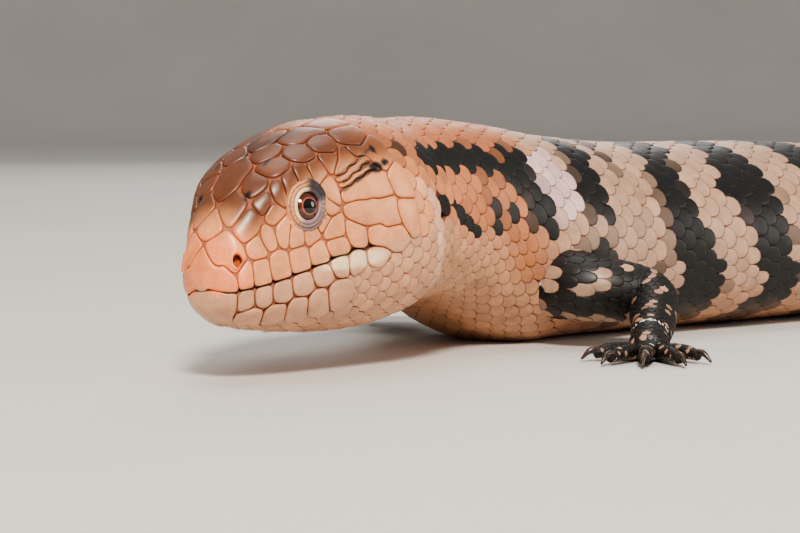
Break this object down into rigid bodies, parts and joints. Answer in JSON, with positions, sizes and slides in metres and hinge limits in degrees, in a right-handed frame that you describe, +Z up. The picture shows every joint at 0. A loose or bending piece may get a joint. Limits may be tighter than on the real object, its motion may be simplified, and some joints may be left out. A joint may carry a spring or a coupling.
{
  "type": "blue-tongued skink model",
  "caption": "Life-size still model of a blue-tongued skink resting on its belly, head turned a little to its left, tail in a gentle bend.",
  "frame": {"origin": "middle of the bounding box on the floor under the belly", "axes": "+X towards the tail, -X towards the snout, +Z up, -Y the animal's left"},
  "size_m": [0.5088, 0.1658, 0.0569],
  "materials": {
    "head_scales": "horny scales, soft sheen",
    "neck_scales": "smooth overlapping scales, soft sheen",
    "body_scales": "smooth overlapping scales, soft sheen",
    "tail_scales": "smooth overlapping scales, soft sheen",
    "leg_scales": "small dark scales, soft sheen",
    "foot_scales": "small dark scales and horn claws",
    "eye": "wet, clear gloss over a red-brown iris"
  },
  "bodies": {
    "root": {"eye_left": "eye", "eye_right": "eye", "foot_front_left": "foot_scales", "foot_front_right": "foot_scales", "foot_hind_left": "foot_scales", "foot_hind_right": "foot_scales", "head": "head_scales", "leg_front_left": "leg_scales", "leg_front_right": "leg_scales", "leg_hind_left": "leg_scales", "leg_hind_right": "leg_scales", "neck": "neck_scales", "tail_base": "tail_scales", "tail_middle": "tail_scales", "tail_tip": "tail_scales", "torso_front": "body_scales", "torso_rear": "body_scales"}
  },
  "joints": []
}
